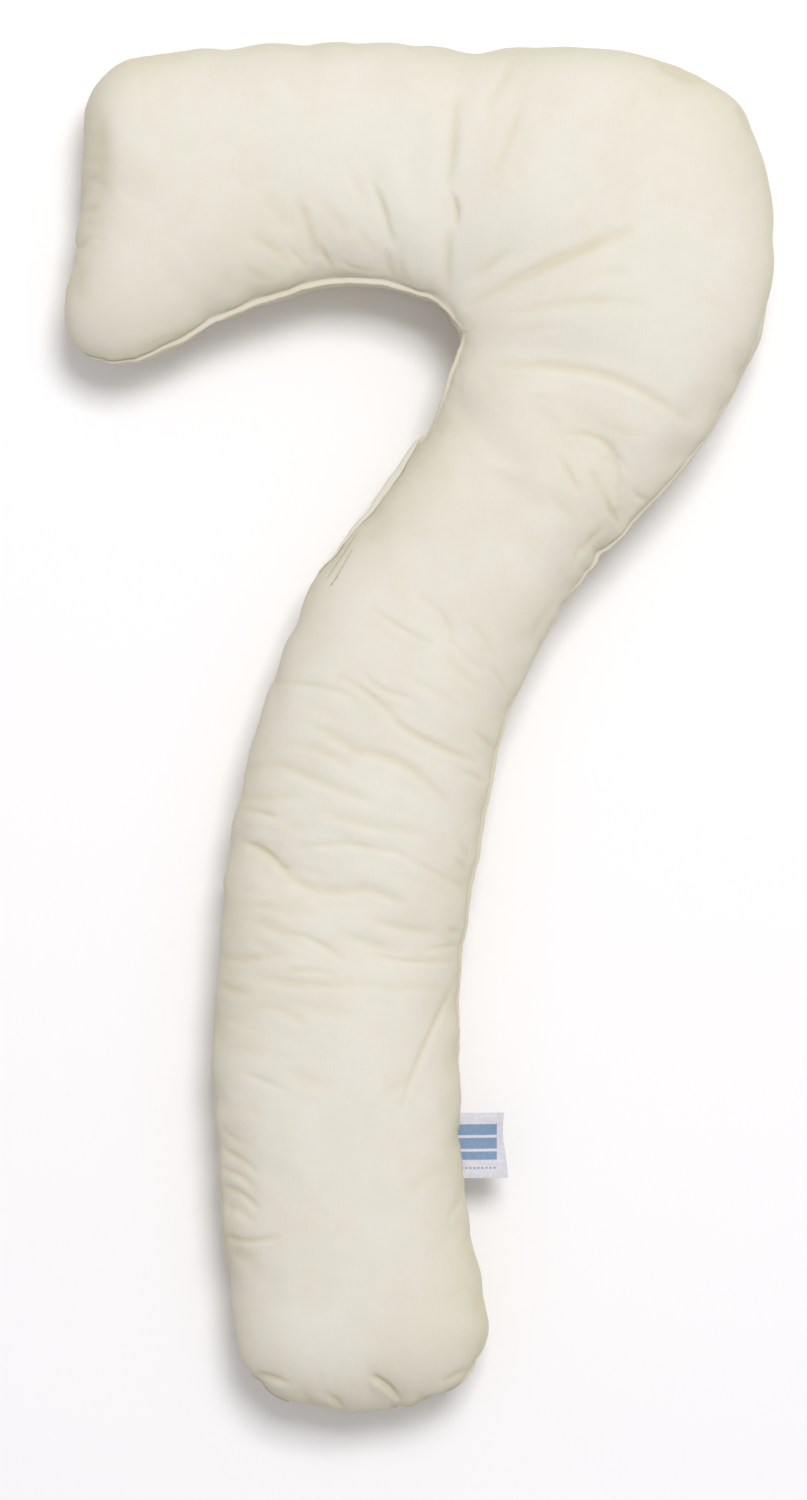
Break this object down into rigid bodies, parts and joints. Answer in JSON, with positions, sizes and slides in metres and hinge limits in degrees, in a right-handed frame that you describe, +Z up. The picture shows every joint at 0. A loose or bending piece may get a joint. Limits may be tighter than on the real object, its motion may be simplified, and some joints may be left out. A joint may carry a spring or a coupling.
{
  "type": "side sleeper pillow",
  "caption": "Long filled cotton pillow bent into a hook, for sleeping on one side: the arm lies under the head and the stem runs down along the body.",
  "frame": {"origin": "middle of the bounding box, on the surface that the pillow lies on", "axes": "+Y from the foot of the stem up to the head, +X away from the hook's opening side, +Z up through the thickness"},
  "size_m": [0.775, 1.5016, 0.1813],
  "materials": {
    "cream_cotton": "undyed plain-weave cotton, matt, softly creased",
    "woven_label": "smooth woven label, pale grey ground with blue bands"
  },
  "bodies": {
    "root": {"cushion": "cream_cotton", "closure_flap": "cream_cotton", "side_label": "woven_label"}
  },
  "joints": []
}
